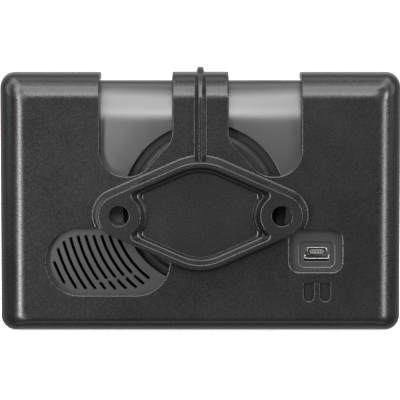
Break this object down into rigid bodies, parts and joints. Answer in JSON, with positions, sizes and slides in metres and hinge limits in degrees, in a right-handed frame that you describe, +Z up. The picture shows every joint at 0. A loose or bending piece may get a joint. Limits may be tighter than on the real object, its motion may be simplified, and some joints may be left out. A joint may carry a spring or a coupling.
{
  "type": "portable gps navigator in its snap-in mounting cradle",
  "caption": "Flat touch-screen car navigator held in a black snap-in cradle with a sprung top latch and a diamond screw-mount boss on the back.",
  "frame": {"origin": "bottom centre of the whole object's bounding box", "axes": "+Z up, +Y towards the driver (the way the screen faces), -Y towards the mount, +X to the right as seen from behind"},
  "size_m": [0.1224, 0.03, 0.0792],
  "materials": {
    "cradle_plastic": "fine-textured satin black",
    "housing_plastic": "satin charcoal lacquer",
    "bezel_plastic": "semi-gloss black",
    "disc_plastic": "smooth satin black",
    "screen_glass": "dark glass, display off",
    "display_dark": "matte dark grey",
    "chassis_metal": "stamped metal",
    "board_green": "solder mask",
    "battery_wrap": "plastic wrap",
    "antenna_ceramic": "fired ceramic",
    "shield_metal": "tinned steel",
    "speaker_black": "matte black",
    "socket_steel": "nickel-plated steel",
    "socket_insulator": "moulded insulator",
    "contact_gold": "gold-plated",
    "screw_steel": "blackened steel"
  },
  "bodies": {
    "cradle_and_navigator": {"cradle_shell": "cradle_plastic", "rear_housing": "housing_plastic", "front_bezel": "bezel_plastic", "touch_glass": "screen_glass", "display_panel": "display_dark", "chassis_frame": "chassis_metal", "main_board": "board_green", "battery": "battery_wrap", "patch_antenna": "antenna_ceramic", "antenna_plate": "shield_metal", "processor_shield": "shield_metal", "receiver_shield": "shield_metal", "dock_disc": "disc_plastic", "speaker_mesh": "speaker_black", "speaker_gasket": "speaker_black", "speaker_frame": "chassis_metal", "speaker_cone": "speaker_black", "speaker_magnet": "chassis_metal", "usb_shell": "socket_steel", "usb_tongue": "socket_insulator", "usb_contact_1": "contact_gold", "usb_contact_2": "contact_gold", "usb_contact_3": "contact_gold", "usb_contact_4": "contact_gold", "usb_contact_5": "contact_gold", "power_switch": "shield_metal", "case_screw_1": "screw_steel", "case_screw_2": "screw_steel", "case_screw_3": "screw_steel", "case_screw_4": "screw_steel"},
    "latch": {"release_latch": "cradle_plastic"},
    "key": {"power_key": "bezel_plastic", "switch_plunger": "socket_insulator"}
  },
  "joints": [
    {"name": "latch_flex", "type": "hinge", "parent": "cradle_and_navigator", "child": "latch", "pos_m": [0, -0.009, 0.0542], "axis": [1, 0, 0], "range_deg": [0, 5], "stiffness_Nm_per_rad": 1},
    {"name": "power_key_press", "type": "slide", "parent": "cradle_and_navigator", "child": "key", "axis": [0, 0, -1], "range_m": [0, 0.0005], "stiffness_N_per_m": 300}
  ]
}
